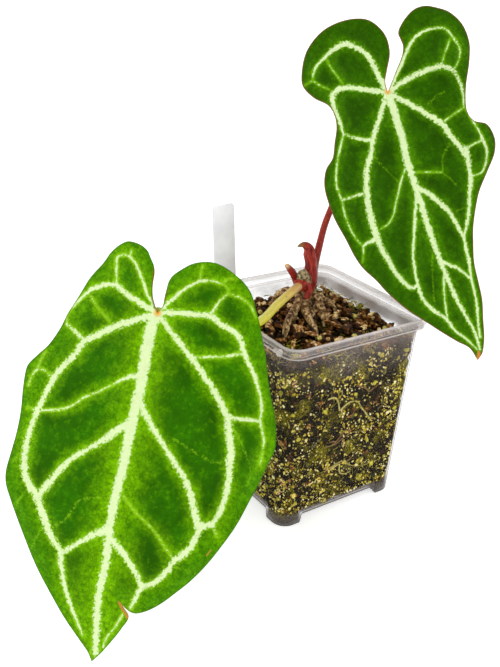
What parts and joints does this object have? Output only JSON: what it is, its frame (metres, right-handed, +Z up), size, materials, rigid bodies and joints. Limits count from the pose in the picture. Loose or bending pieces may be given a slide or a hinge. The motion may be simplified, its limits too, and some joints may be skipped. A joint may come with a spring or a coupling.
{
  "type": "potted anthurium plant",
  "caption": "Potted foliage plant: clear square nursery pot of bark mix, rooted crown, long petioles, large heart-shaped leaves with pale veins and a bare plant label.",
  "frame": {"origin": "on the surface that the pot stands on, under the middle of the whole plant's bounding box", "axes": "+X along the pot's front wall, +Y from the front wall to the back wall, +Z up"},
  "size_m": [0.2502, 0.1408, 0.2485],
  "materials": {
    "pot_plastic": "clear, slightly hazy thin plastic",
    "bark_mix": "rough damp bark, moss and pellets",
    "crown_root": "rough brown root bark",
    "red_sheath": "satin red sheath",
    "green_petiole": "satin yellow-green stem",
    "red_petiole": "satin dark red stem",
    "bright_blade": "velvety bright green with pale veins",
    "dark_blade": "velvety dark green with pale veins",
    "label_plastic": "translucent white plastic"
  },
  "bodies": {
    "root": {"pot": "pot_plastic", "potting_mix": "bark_mix", "crown": "crown_root", "petiole_collar": "red_sheath", "tall_sheath": "red_sheath", "side_sheath": "red_sheath", "front_petiole": "green_petiole", "back_petiole": "red_petiole", "front_blade": "bright_blade", "back_blade": "dark_blade", "plant_label": "label_plastic"}
  },
  "joints": []
}
